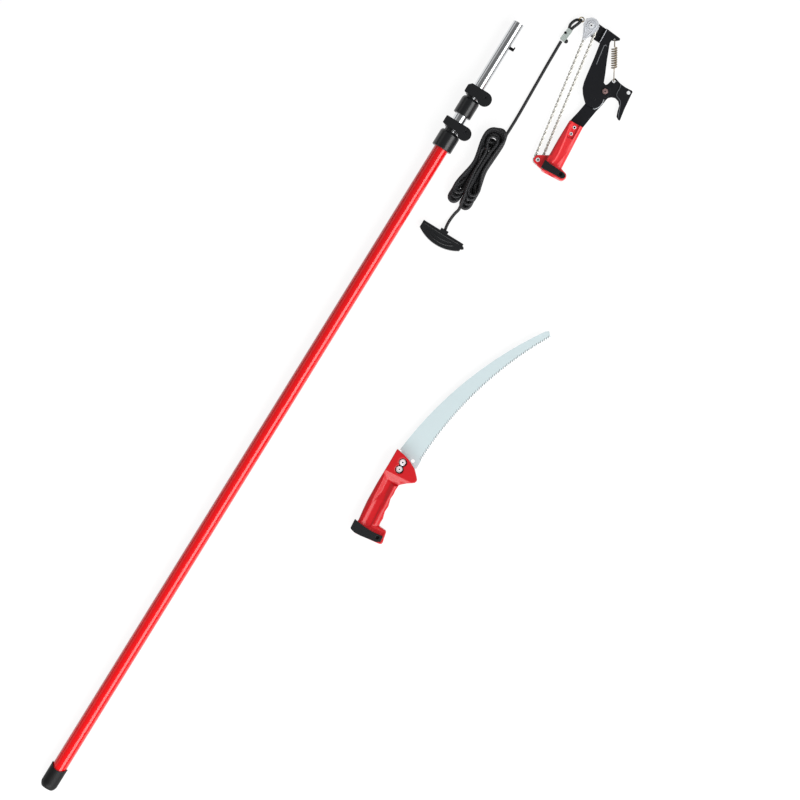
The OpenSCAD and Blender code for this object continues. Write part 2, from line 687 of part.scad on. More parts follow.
module saw_handle() color("#d7232a") on_saw() difference() {
  union() {
    intersection() {
      slab(0, 2 * axis_z) saw_outline();
      round_bar(-8.5, axis_z, 18, 127, 43, 2 * axis_z, 11);
    }
    slab(3, saw_head_top) intersection() {
      saw_outline();
      translate([-50, 122]) square([100, 60]);
    }
    slab(3, 2 * axis_z - 3) intersection() {
      saw_outline();
      translate([-50, 110]) square([100, 20]);
    }
    slab(0, flange_top)
      polygon([[-28, 20], [-32, 2], [-32, -1], [-22, sw_mouth], [28, -1.5], [32, 0], [33, 4], [31.5, 12],
               [30, 24], [28, 26.5], [13, 28.5]]);
  }
  socket_cut(sw_axis, sw_mouth, sw_button);
  slab(blade_bed, blade_bed + saw_t) saw_tang();
  pin([14, 167.5], 0, 40, 3.6);
  for (p = saw_screw) {
    pin(p, 0, 40, 2.5);
    pin(p, screw_floor, 40, 8);
    hex(p, 0, 7, 5.2);
  }
  pin(sw_latch_at, axis_z, flange_top + 1, latch_pin_r);
}

module saw_screws() color("silver") on_saw() for (p = saw_screw) difference() {
  union() {
    pin(p, 3.4, screw_floor, 2.5);
    pin(p, screw_floor, screw_floor + 3, 6.2);
  }
  translate([p[0], p[1], screw_floor + 3]) cube([9, 1.6, 2.4], center = true);
}

module saw_nuts() color("silver") on_saw() for (p = saw_screw) difference() {
  hex(p, 3.2, 7, 5.2);
  pin(p, 0, 30, 2.5);
}

module saw_latch_lever() color("#1b1c1e") on_saw() latch_lever(sw_latch_at, sw_button)
  polygon([[-34.5, 19], [-34, 20.5], [-27.5, 18.5], [-20, 17], [-5, 14.5], [10, 13.5], [28, 15],
           [28.5, 3], [20, -1], [-12, -3.5], [-25, -3], [-33, 0], [-34.5, 2]]);

module saw_latch_pin() color("dimgray") on_saw() latch_pin(sw_latch_at);

base_tube();
end_cap();
lower_collar();
lower_clamp_bolt();
lower_clamp_nut();
lower_lock_lever();
mid_tube();
mid_tube_bush();
upper_collar();
upper_clamp_bolt();
upper_clamp_nut();
upper_lock_lever();
top_tube();
top_tube_bush();
snap_button();
button_spring();
pruner_handle();
pruner_latch_lever();
pruner_latch_pin();
handle_rivets();
frame_plate();
hook_cheek();
hook_rivet();
spring_eyelet();
pruner_blade();
lever_arm();
blade_rivet();
pivot_bolt();
pivot_nut();
return_spring();
top_pulley();
pulley_bracket();
top_pulley_screw();
top_pulley_nut();
lower_pulley();
lower_pulley_rivet();
chain();
chain_anchor();
chain_end_ring();
rope_clip();
rope_loop();
rope_knot();
rope_lead();
rope_hank();
rope_tail();
pull_handle();
saw_blade();
saw_handle();
saw_screws();
saw_nuts();
saw_latch_lever();
saw_latch_pin();
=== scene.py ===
"""Looks of the telescoping pole saw kit: a three-section pole, a rope pruner head and a curved saw head."""

import math

import bmesh
import bpy
from bpy.props import FloatProperty, FloatVectorProperty, PointerProperty
from mathutils import Matrix, Vector
from mathutils.bvhtree import BVHTree


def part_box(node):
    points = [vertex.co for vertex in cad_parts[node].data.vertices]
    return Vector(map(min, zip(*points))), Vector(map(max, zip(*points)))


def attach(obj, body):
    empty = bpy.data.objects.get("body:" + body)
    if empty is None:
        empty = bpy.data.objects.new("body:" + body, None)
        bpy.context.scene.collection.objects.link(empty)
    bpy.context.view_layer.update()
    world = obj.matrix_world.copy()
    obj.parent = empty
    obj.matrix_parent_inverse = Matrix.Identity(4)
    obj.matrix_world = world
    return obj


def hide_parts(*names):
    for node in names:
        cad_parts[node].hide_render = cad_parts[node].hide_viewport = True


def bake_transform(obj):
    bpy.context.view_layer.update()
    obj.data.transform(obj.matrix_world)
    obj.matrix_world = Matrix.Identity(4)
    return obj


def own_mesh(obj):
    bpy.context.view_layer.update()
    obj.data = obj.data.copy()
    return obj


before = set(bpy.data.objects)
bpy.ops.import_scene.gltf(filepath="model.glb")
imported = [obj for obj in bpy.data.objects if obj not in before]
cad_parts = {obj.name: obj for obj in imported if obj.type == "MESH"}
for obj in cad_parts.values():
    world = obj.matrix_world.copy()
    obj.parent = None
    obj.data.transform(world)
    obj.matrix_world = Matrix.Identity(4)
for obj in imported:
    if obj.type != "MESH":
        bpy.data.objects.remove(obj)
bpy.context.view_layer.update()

bl_info = {
    "name": "Telescoping Pole Saw Kit",
    "version": (1, 0, 0),
    "blender": (4, 5, 0),
    "location": "View3D > Sidebar > Pole Saw",
    "description": "Dresses the pole, the rope pruner head and the saw head of a telescoping pole saw",
    "category": "Object",
}

MM = 0.001
UP = Vector((0, 0, 1))

# Stations on the plans of the two heads, [x, y] in millimetres
PIVOT, RIVETS = (15, 182), [(-4, 93), (-4, 79.5)]
TOP_WHEEL, LOW_WHEEL, CHAIN_TIE = Vector((-67, 280.5)), Vector((-36.5, 7)), Vector((-67.5, 252))
SAW_PIN, SCREWS, SCREWS_MIDDLE = (19.5, 8), [(-2, 156.5), (-2, 142)], (-2, 149.25)
# Height of the chain, and of the wheels' grooves
WHEEL_Z = 11


# ---- where the three items lie ---------------------------------------------------------------------


def middle(part):
    """Centre of a CAD node's box, in millimetres."""
    lo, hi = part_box(part)
    return (lo + hi) / 2 / MM


def laid_flat(part_a, at_a, part_b, at_b):
    """Matrix from an item's own millimetres to the row: two of its parts are at_a and at_b on its plan."""
    a, b = middle(part_a).xy, middle(part_b).xy
    u, v = Vector(at_b) - Vector(at_a), b - a
    turn = Matrix.Rotation(math.atan2(v.y, v.x) - math.atan2(u.y, u.x), 4, "Z")
    start = Vector((a.x, a.y, 0)) - turn @ Vector((*at_a, 0))
    return Matrix.Scale(MM, 4) @ Matrix.Translation(start) @ turn


def pole_axis(part_a, y_a, part_b, y_b):
    """Matrix from the pole's own millimetres to the row: the middles of two tubes are on its axis."""
    a, b = middle(part_a), middle(part_b)
    turn = Vector((0, 1, 0)).rotation_difference(b - a).to_matrix().to_4x4()
    return Matrix.Scale(MM, 4) @ Matrix.Translation(a - turn @ Vector((0, y_a, 0))) @ turn


BUSH_Y, TUBE_Y = 97, 901
POLE = pole_axis("top_tube_bush", BUSH_Y, "top_tube", TUBE_Y)
PRUNER = laid_flat("lower_pulley", LOW_WHEEL, "pivot_bolt", PIVOT)
SAW = laid_flat("saw_latch_pin", SAW_PIN, "saw_screws", SCREWS_MIDDLE)
ROW = Matrix.Scale(MM, 4)


# ---- finishes --------------------------------------------------------------------------------------


def linear(colour):
    """sRGB hex value, or a colour from the panel, as linear RGBA."""
    if not isinstance(colour, str):
        return (*colour, 1.0)
    parts = [int(colour[i : i + 2], 16) / 255 for i in (1, 3, 5)]
    return (*[c / 12.92 if c <= 0.04045 else ((c + 0.055) / 1.055) ** 2.4 for c in parts], 1.0)


def add(tree, kind, links=(), **settings):
    """Adds one shader node. Settings are its properties or, by name or number, its input values."""
    made = tree.nodes.new(kind)
    inputs = settings.pop("inputs", {})
    for key, value in settings.items():
        setattr(made, key, value)
    for key, value in inputs.items():
        made.inputs[key].default_value = value
    for key, socket in dict(links).items():
        tree.links.new(socket, made.inputs[key])
    return made


def finish(name, colour, metallic=0.0, roughness=0.5, **inputs):
    """A material whose surface shader starts from one colour. Returns it with its node tree and shader."""
    made = bpy.data.materials.new(name)
    made.use_nodes = True
    tree = made.node_tree
    shader = tree.nodes["Principled BSDF"]
    shader.inputs["Base Color"].default_value = linear(colour)
    shader.inputs["Metallic"].default_value = metallic
    shader.inputs["Roughness"].default_value = roughness
    for key, value in inputs.items():
        shader.inputs[key.replace("_", " ")].default_value = value
    return made, tree, shader


# Half the width of the lighter line along an edge, partly wear and partly painted highlight, in millimetres
EDGE_TONE_RADIUS = 0.4


def grain(tree, shader, per_mm, height, detail, stretch, rough):
    """Fine relief and uneven roughness: per_mm bumps to a millimetre, height in millimetres."""
    coords = add(tree, "ShaderNodeTexCoord").outputs["Object"]
    place = add(tree, "ShaderNodeMapping", {"Vector": coords}, inputs={"Scale": stretch})
    spots = {"Scale": per_mm / MM, "Detail": detail}
    noise = add(tree, "ShaderNodeTexNoise", {"Vector": place.outputs[0]}, inputs=spots)
    relief = {"Strength": 1.0, "Distance": height * MM}
    bump = add(tree, "ShaderNodeBump", {"Height": noise.outputs["Fac"]}, inputs=relief)
    tree.links.new(bump.outputs[0], shader.inputs["Normal"])
    spread = {"From Min": 0.3, "From Max": 0.7, "To Min": rough[0], "To Max": rough[1]}
    level = add(tree, "ShaderNodeMapRange", {"Value": noise.outputs["Fac"]}, inputs=spread)
    tree.links.new(level.outputs[0], shader.inputs["Roughness"])
    return noise


def wear_and_highlight_edges(tree, shader, noise, base, edge_tone):
    """Colours the paint or skin a little lighter where edges stand out: partly wear, partly painted
    highlight.
    """
    bevel = add(tree, "ShaderNodeBevel", samples=4, inputs={"Radius": EDGE_TONE_RADIUS * MM})
    flat = add(tree, "ShaderNodeNewGeometry").outputs["Normal"]
    dot = add(tree, "ShaderNodeVectorMath", {0: bevel.outputs[0], 1: flat}, operation="DOT_PRODUCT")
    fade = {"From Min": 0.99, "From Max": 0.8, "To Min": 0.0, "To Max": 0.6}
    edge = add(tree, "ShaderNodeMapRange", {"Value": dot.outputs["Value"]}, inputs=fade)
    patchy = add(tree, "ShaderNodeMath", {0: edge.outputs[0], 1: noise.outputs["Fac"]}, operation="MULTIPLY")
    two_tone(tree, shader, patchy.outputs[0], base, edge_tone)


def two_tone(tree, shader, factor, low, high):
    """Colours a surface between two tones by a factor."""
    mix = add(tree, "ShaderNodeMix", {"Factor": factor}, data_type="RGBA")
    mix.inputs["A"].default_value = linear(low)
    mix.inputs["B"].default_value = linear(high)
    tree.links.new(mix.outputs["Result"], shader.inputs["Base Color"])


FINISHES = {}


def grained(key, name, colour, metallic, roughness, relief, rough, stretch=(1, 1, 1), **inputs):
    """A finish of one colour with fine relief. Returns what is needed to lighten its edges as wear and
    painted highlight.
    """
    made, tree, shader = finish(name, colour, metallic, roughness, **inputs)
    FINISHES[key] = made
    return tree, shader, grain(tree, shader, *relief, stretch=stretch, rough=rough)


def make_finishes(look):
    # Red gloss enamel on drawn aluminium tube: deep colour under a clear skin, with fine orange peel.
    skin = {"Specular_IOR_Level": 0.2, "Coat_Weight": 1.0, "Coat_Roughness": 0.1}
    grained("enamel", "red_gloss_enamel", look.tube_red, 0, 0.24, (0.3, 0.001, 1.0), (0.2, 0.24), **skin)

    # Polished drawn aluminium: bright, with fine drawing lines along the tube.
    lines = (1, 0.02, 1)
    grained("aluminium", "drawn_aluminium", "#dcdee0", 1, 0.16, (1.2, 0.0006, 2.0), (0.14, 0.2), lines)

    # Black glass-filled nylon, moulded: satin with a fine spark-eroded grain.
    black, gloss = look.moulding_black, {"Specular_IOR_Level": 0.5}
    made = grained("nylon", "black_moulded_nylon", black, 0, 0.28, (2.2, 0.002, 2.0), (0.24, 0.31), **gloss)
    # Edges lighter grey: partly wear, partly painted highlight.
    wear_and_highlight_edges(*made, black, "#3c3e42")

    # Black rubber, moulded: duller than the nylon.
    gloss = {"Specular_IOR_Level": 0.3}
    grained("rubber", "black_moulded_rubber", "#0b0b0c", 0, 0.55, (1.5, 0.01, 3.0), (0.5, 0.64), **gloss)

    # Red glass-filled nylon, moulded: glossy with a faint flow texture.
    gloss = {"Specular_IOR_Level": 0.45}
    for key, name, red in (
        ("saw_red", "red_moulded_nylon", look.saw_red),
        ("pruner_red", "light_red_moulded_nylon", look.pruner_red),
    ):
        made = grained(key, name, red, 0, 0.34, (1.6, 0.003, 3.0), (0.28, 0.38), **gloss)
        # Edges lighter pink: partly wear, partly painted highlight.
        wear_and_highlight_edges(*made, red, "#f0696f")

    # Black paint baked on stamped steel plate: smooth satin with slight orange peel, its edges lighter,
    # partly rubbed and partly painted highlight.
    black, gloss = look.plate_black, {"Specular_IOR_Level": 0.35}
    made = grained("paint", "black_baked_paint", black, 0, 0.34, (0.9, 0.003, 2.0), (0.3, 0.38), **gloss)
    wear_and_highlight_edges(*made, black, "#85888c")

    # Ground spring steel: cool pale grey with a touch of blue, with fine grinding lines.
    lines = (0.05, 1, 1)
    grained("blade", "ground_spring_steel", "#cedde0", 0.45, 0.5, (1.0, 0.003, 3.0), (0.44, 0.56), lines)

    # Zinc-plated steel: bright, bluish, a little cloudy.
    grained("zinc", "zinc_plated_steel", "#eceef0", 0.2, 0.32, (0.5, 0.004, 3.0), (0.26, 0.4))

    # Galvanised steel plate: matt grey with spangle of a few millimetres.
    made, tree, shader = finish("galvanised_plate", "#d6d9de", 0.4, 0.45)
    coords = add(tree, "ShaderNodeTexCoord").outputs["Object"]
    spangle = add(tree, "ShaderNodeTexVoronoi", {"Vector": coords}, inputs={"Scale": 0.4 / MM})
    levels = {"To Min": 0.36, "To Max": 0.56}
    tone = add(tree, "ShaderNodeMapRange", {"Value": spangle.outputs["Color"]}, inputs=levels)
    tree.links.new(tone.outputs[0], shader.inputs["Roughness"])
    FINISHES["galvanised"] = made

    # Nickel-plated chain wire: warm grey.
    grained("nickel", "nickel_plated_wire", "#c6c4bd", 0.45, 0.32, (0.8, 0.004, 2.0), (0.3, 0.44))

    # Oil-tempered spring wire: brownish grey.
    grained("spring", "tempered_spring_wire", "#968a79", 0.6, 0.32, (0.8, 0.004, 2.0), (0.28, 0.42))

    # Brass-plated wire of the chain's end ring.
    grained("brass", "brass_plated_wire", "#8e7b52", 0.8, 0.36, (0.8, 0.004, 2.0), (0.3, 0.42))

    # Copper-flashed steel of the pivot bolt and nut: dull pinkish metal.
    grained("copper", "copper_flashed_steel", "#9c7f7d", 0.6, 0.45, (0.8, 0.004, 2.0), (0.4, 0.52))

    # Light bare-steel grey: the blade's ground bevel, and a highlight painted along the lever's fold.
    grained("bare_steel_and_highlight", "bare_steel_and_painted_highlight", "#a9acb0", 0.5, 0.4, (0.7, 0.01, 3.0), (0.3, 0.5))

    # Mid grey: highlights painted along the lever's pressed rib and along the hook cheek's inner edge.
    grained("edge_highlight", "painted_edge_highlight", "#63666a", 0.2, 0.4, (0.7, 0.01, 3.0), (0.3, 0.5))

    # Dark grey-blue facets at the saw's teeth: painted shade in and round their gullets.
    grained("tooth_shade", "painted_tooth_shade", "#4c4f54", 0.3, 0.45, (0.9, 0.004, 2.0), (0.4, 0.52))

    # Oiled black steel: the latch pins and the snap button; the same near black is painted shade at the
    # bottom of the hollows of pins, bolts and rivets, where the clip's hole is, and round the saw's screw
    # heads.
    gloss = {"Specular_IOR_Level": 0.1}
    grained("hollow", "oiled_black_steel_and_painted_shade", "#080809", 0, 0.5, (1.5, 0.01, 2.0), (0.45, 0.6), **gloss)

    # Grey-green moulded nylon clip.
    grey = "#a9b3ae"
    made = grained("clip", "grey_moulded_nylon", grey, 0, 0.42, (1.4, 0.02, 2.0), (0.36, 0.48))
    # Edges paler: partly wear, partly painted highlight.
    wear_and_highlight_edges(*made, grey, "#c9d0cc")

    # Braided black polypropylene rope: crossing yarns 2 mm wide, on the rope's own UV map; near black in the
    # dips between yarns as painted shade, the yarn's grey on their crowns as painted highlight.
    yarn = look.rope_black
    made, tree, shader = finish("braided_polypropylene", yarn, roughness=0.5, Specular_IOR_Level=0.4)
    uv = add(tree, "ShaderNodeTexCoord").outputs["UV"]
    waves = []
    for lean in (0.75, -0.75):
        leaning = add(tree, "ShaderNodeMapping", {"Vector": uv}, inputs={"Rotation": (0, 0, lean)})
        yarns = {"Scale": 0.08, "Distortion": 0.3}
        wave = add(tree, "ShaderNodeTexWave", {"Vector": leaning.outputs[0]}, inputs=yarns)
        waves.append(wave.outputs["Fac"])
    braid = add(tree, "ShaderNodeMath", {0: waves[0], 1: waves[1]}, operation="MULTIPLY").outputs[0]
    relief = {"Strength": 0.8, "Distance": 0.3 * MM}
    bump = add(tree, "ShaderNodeBump", {"Height": braid}, inputs=relief)
    tree.links.new(bump.outputs[0], shader.inputs["Normal"])
    # Painted shade between the yarns and painted highlight on their crowns.
    two_tone(tree, shader, braid, "#060607", yarn)
    FINISHES["rope"] = made


# ---- shaping ---------------------------------------------------------------------------------------


# Edges that turn more than this many degrees are rounded, and those that turn more than this are shaded sharp
SHARP, SHADED_SHARP = 25, 35
# How deep the round hollows of pins, rivets and bolts are
DRILL_DEPTH = 1.5


def put(name, data):
    """An object of this mesh, lamp or camera, linked into the scene."""
    made = bpy.data.objects.new(name, data)
    bpy.context.scene.collection.objects.link(made)
    return made


def soften(bm, width, segments=2):
    """Rounds the edges that turn more than SHARP degrees."""
    bm.normal_update()
    sharp = math.radians(SHARP)
    edges = [e for e in bm.edges if len(e.link_faces) == 2 and e.calc_face_angle(0) > sharp]
    if edges:
        bmesh.ops.bevel(
            bm,
            geom=edges,
            offset=width,
            offset_type="OFFSET",
            affect="EDGES",
            segments=segments,
            profile=0.5,
            material=-1,
            clamp_overlap=True,
        )


def from_cad(part, item):
    """A merged copy of a CAD node's mesh in its item's own millimetres, with its flat faces joined up."""
    bm = bmesh.new()
    bm.from_mesh(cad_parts[part].data)
    bmesh.ops.transform(bm, matrix=item.inverted(), verts=bm.verts)
    bmesh.ops.remove_doubles(bm, verts=bm.verts, dist=0.002)
    flat = math.radians(0.6)
    bmesh.ops.dissolve_limit(bm, angle_limit=flat, verts=bm.verts, edges=bm.edges, delimit=set())
    return bm


def modified(bm, kind, tool=None, **settings):
    """The shape after one modifier, which may take a second shape as its tool."""
    pair = []
    for shape in (bm, tool) if tool else (bm,):
        mesh = bpy.data.meshes.new("working")
        shape.to_mesh(mesh)
        shape.free()
        pair.append(put("working", mesh))
    modifier = pair[0].modifiers.new("work", kind)
    for key, value in settings.items():
        setattr(modifier, key, value)
    if tool:
        modifier.object = pair[1]
    out = bmesh.new()
    out.from_object(pair[0], bpy.context.evaluated_depsgraph_get())
    for made in pair:
        mesh = made.data
        bpy.data.objects.remove(made)
        bpy.data.meshes.remove(mesh)
    return out


def carve(bm, *cutters):
    """Cuts closed shapes out of a closed one."""
    for cutter in cutters:
        bm = modified(bm, "BOOLEAN", cutter, operation="DIFFERENCE", solver="EXACT")
    return bm


def moulded(bm, grid, passes):
    """A shape with all its edges and hollows rounded as in a mould, on a grid so many millimetres wide."""
    bm = modified(bm, "REMESH", mode="VOXEL", voxel_size=grid)
    for _ in range(passes):
        bmesh.ops.smooth_vert(
            bm, verts=bm.verts, factor=0.5, use_axis_x=True, use_axis_y=True, use_axis_z=True
        )
    return bm


def frustum(low, high, z0, z1):
    """A closed shape between two outlines with the same number of corners, at two heights."""
    bm = bmesh.new()
    rings = [[bm.verts.new((x, y, z)) for x, y in ring] for ring, z in ((low, z0), (high, z1))]
    bm.faces.new(rings[0])
    bm.faces.new(rings[1])
    for k in range(len(low)):
        m = (k + 1) % len(low)
        bm.faces.new((rings[0][k], rings[0][m], rings[1][m], rings[1][k]))
    bmesh.ops.recalc_face_normals(bm, faces=bm.faces)
    return bm


def over_surface(bm, route):
    """A smooth path on the top of a shape, along a route on its plan."""
    tree = BVHTree.FromBMesh(bm)
    well_above = Vector((0, 0, 100))
    starts = [p + well_above for p in smooth_path([(x, y, 0) for x, y in route], 2)]
    hits = [tree.ray_cast(start, -UP)[0] for start in starts]
    return [hit for hit in hits if hit]


def bead(bm, route, radius, sunk=0.0):
    """Raises a bead along a route on the top of a shape, its middle sunk a little way in."""
    path = [p - sunk * UP for p in relaxed(over_surface(bm, route), 6)]
    return join(bm, tube(path, radius, 12))


def groove(bm, route, radius):
    """Cuts a round groove along a route into the top of a shape."""
    return carve(bm, tube(over_surface(bm, route), radius, 8))


def build(bm, name, item, body, look, stands_for=(), smooth=SHADED_SHARP, weigh=True):
    """Makes the piece: puts it in its place, smooths it, gives it its finish and its body."""
    bmesh.ops.transform(bm, matrix=item, verts=bm.verts)
    mesh = bpy.data.meshes.new(name)
    bm.normal_update()
    for f in bm.faces:
        f.smooth = True
    for e in bm.edges:
        if len(e.link_faces) == 2:
            e.smooth = e.calc_face_angle(0) < math.radians(smooth)
    bm.to_mesh(mesh)
    bm.free()
    mesh.materials.append(FINISHES[look])
    piece = put(name, mesh)
    if weigh:
        piece.modifiers.new("even_shading", "WEIGHTED_NORMAL").keep_sharp = True
    if body:
        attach(piece, body)
    if stands_for:
        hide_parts(*stands_for)
    return piece


def rounded(part, item, body, look, width, segments=2):
    """A CAD node with its edges rounded, as a piece that stands for it."""
    bm = from_cad(part, item)
    soften(bm, width, segments)
    return build(bm, part + "_finished", item, body, look, [part])


def discs(name, item, body, spots, radius, z):
    """Thin dark discs lying at one height: painted shade at the bottom of each hollow, where a hole is, and
    round screw heads in their pockets.
    """
    bm = bmesh.new()
    for at in spots:
        join(bm, turned([(0, z - 0.3), (radius, z - 0.3), (radius, z), (0, z)], at, 24))
    return build(bm, name, item, body, "hollow")


def drilled(part, item, body, look, spots, hole):
    """A pin, rivet or bolt of CAD with a round hollow cut in the top of each of its heads, and painted shade
    at each hollow's bottom.
    """
    top = top_of(part, item)
    bottom = top - DRILL_DEPTH
    bm = from_cad(part, item)
    for at in spots:
        bm = carve(bm, turned([(0, bottom), (hole, bottom), (hole, top + 1), (0, top + 1)], at, 24))
    soften(bm, 0.3)
    # A dark disc at each hollow's bottom: painted shade.
    discs(part + "_hollow", item, body, spots, hole - 0.05, bottom + 0.25)
    return build(bm, part + "_finished", item, body, look, [part])


def centre_of(part, item):
    """Centre of a CAD node on its item's plan."""
    lo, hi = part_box(part)
    return (item.inverted() @ ((lo + hi) / 2)).xy


def top_of(part, item):
    """Height of a CAD node's top, in its item's millimetres."""
    return (item.inverted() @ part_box(part)[1]).z


def tube(path, radius, sides=12):
    """A round bar or rope along a path, with a UV map in millimetres along and round it.

    The radius is one number, or a list with one for each point.
    """
    bm = bmesh.new()
    layer = bm.loops.layers.uv.new("UVMap")
    n = len(path)
    path = [Vector(p) for p in path]
    radii = radius if isinstance(radius, list) else [radius] * n
    angles = [2 * math.pi * k / sides for k in range(sides)]
    up = UP
    rings, run = [], [0.0]
    for i in range(n):
        d = (path[min(i + 1, n - 1)] - path[max(i - 1, 0)]).normalized()
        side = up.cross(d)
        if side.length < 1e-4:
            side = Vector((1, 0, 0))
        side.normalize()
        up = d.cross(side).normalized()
        spokes = [math.cos(a) * side + math.sin(a) * up for a in angles]
        rings.append([bm.verts.new(path[i] + radii[i] * spoke) for spoke in spokes])
        if i:
            run.append(run[-1] + (path[i] - path[i - 1]).length)
    around = 2 * math.pi * radii[0]
    for i in range(n - 1):
        for k in range(sides):
            m = (k + 1) % sides
            face = bm.faces.new((rings[i][k], rings[i][m], rings[i + 1][m], rings[i + 1][k]))
            for loop, u, v in zip(face.loops, (i, i, i + 1, i + 1), (k, k + 1, k + 1, k)):
                loop[layer].uv = (run[u], around * v / sides)
    bm.faces.new(list(reversed(rings[0])))
    bm.faces.new(rings[-1])
    bmesh.ops.recalc_face_normals(bm, faces=bm.faces)
    return bm


def smooth_path(points, step):
    """Points every step or so on a smooth curve through the given ones."""
    pts = [Vector(p) for p in points]
    out = []
    for i in range(len(pts) - 1):
        a, b, c, d = pts[max(i - 1, 0)], pts[i], pts[i + 1], pts[min(i + 2, len(pts) - 1)]
        n = max(1, round((c - b).length / step))
        for k in range(n):
            t = k / n
            bend = (2 * a - 5 * b + 4 * c - d) * t * t + (3 * b - a - 3 * c + d) * t * t * t
            out.append(0.5 * (2 * b + (c - a) * t + bend))
    return out + [pts[-1]]


def path_length(path):
    """Length of a path, in its own units."""
    return sum((Vector(b) - Vector(a)).length for a, b in zip(path, path[1:]))


def turned(profile, at, steps=48):
    """A shape turned about a vertical axis at [x, y], from its (radius, height) profile."""
    bm = bmesh.new()
    verts = [bm.verts.new((r, 0, z)) for r, z in profile]
    edges = [bm.edges.new(pair) for pair in zip(verts, verts[1:])]
    bmesh.ops.spin(
        bm,
        geom=verts + edges,
        cent=(0, 0, 0),
        axis=(0, 0, 1),
        angle=2 * math.pi,
        steps=steps,
        use_merge=True,
    )
    bmesh.ops.remove_doubles(bm, verts=bm.verts, dist=0.001)
    bmesh.ops.translate(bm, vec=(at[0], at[1], 0), verts=bm.verts)
    bmesh.ops.recalc_face_normals(bm, faces=bm.faces)
    return bm


def join(into, other):
    """Adds another shape's mesh to one."""
    mesh = bpy.data.meshes.new("joined")
    other.to_mesh(mesh)
    other.free()
    into.from_mesh(mesh)
    bpy.data.meshes.remove(mesh)
    return into


# ---- rope ------------------------------------------------------------------------------------------

ROPE_R, LOOP_R = 3.0, 2.9
KNOT_AT, KNOT_R, WRAPS, WRAP_DEPTH = (-95.6, 233, 4.5), 4.4, 9, 0.08
LEAD_ROUTE = [(-85, 827, 3), (-84, 780, 3), (-82, 720, 3), (-80, 660, 3), (-80, 620, 3)]
TAIL_ROUTE = [(-84, 445, 3), (-86, 430, 3), (-86, 416, 5), (-84, 404.6, 8)]
LOOP_ROUTE = [
    (-101.5, 257, 4.5),
    (-103, 266, 5),
    (-98, 277, 6.5),
    (-90, 281, 9),
    (-88.5, 279.5, 13),
    (-91, 272, 12),
    (-96, 262, 6),
    (-97, 257, 4.5),
]
HANK_AT = Vector((-91, 542, 0))
# The hank, seen from its middle: centre line and radius of its outer top arcs, the centre lines of its two
# bottom lobes, and the radius of its tight turns
TOP_X, TOP_Y, OUTER_R = -4, 57, 19.5
RIGHT_LOBE, LEFT_LOBE, TURN_R = 14, -12, 9.8
# Each layer: y and radius of its inner arc, y of its lobes, its outer and inner strands at the waist, how far
# the inner ones lie to the right, and over how long a way its outer and inner strands close
LAYERS = (
    (56, 15, -75, 13.5, 3.2, 2, 62, 30),
    (37, TURN_R, -70.5, 10.5, 3.2, 2, 32, 32),
    (47, TURN_R, -61.5, 13.5, 7, 0, 62, 30),
    (32.5, TURN_R, -75, 9, 6, -1, 32, 28),
    (56, 12.5, -66, 10.5, 3.2, 0, 32, 40),
    (41.5, TURN_R, -51, 10.5, 3.2, 1.5, 44, 28),
    (28, TURN_R, -56.5, 13.5, 3.2, -1.5, 62, 27),
    (52.8, TURN_R, -48, 10.5, 3.2, -1, 44, 28),
)
LAYER_RISE = 3.25
# How far each layer's outer arc humps up on its way over, where the hump's middle is, and its half width
HUMPS = (0, 0, 5, 9, 6, 0, 0)
HUMP_X, HUMP_SPREAD = 4, 9
# Turns wider than this are squarer than a circle, by this power taken of their sine and cosine
WIDE_TURN, SQUARE_POWER = 15, 0.86


def eased(share):
    """A share of the way, from 0 to 1, that starts and ends gently."""
    return (1 - math.cos(math.pi * min(max(share, 0), 1))) / 2


def leg(x_top, x_mid, x_low, y_top, y_low, z, pinch):
    """One strand of the hank from its top to its bottom, drawn in towards the waist."""
    count = round((y_top - y_low) / 3)
    points = []
    for k in range(count + 1):
        y = y_top + (y_low - y_top) * k / count
        up, down = eased((y - y_top + pinch) / pinch), eased((y_low + pinch - y) / pinch)
        points.append((x_mid + (x_top - x_mid) * up + (x_low - x_mid) * down, y, z))
    return points


def turn_round(x, y, radius, start, sweep, z0, z1, hump=0):
    """A turn of the rope about [x, y], from an angle through a sweep, with a hump on its way over."""
    count = max(8, round(radius))
    power = SQUARE_POWER if radius > WIDE_TURN else 1
    points = []
    for k in range(1, count):
        a = start + sweep * k / count
        c, d = (math.copysign(abs(v) ** power, v) for v in (math.cos(a), math.sin(a)))
        at = x + radius * c
        rise = hump * math.exp(-(((at - HUMP_X) / HUMP_SPREAD) ** 2))
        points.append((at, y + radius * d + rise, z0 + (z1 - z0) * k / count))
    return points


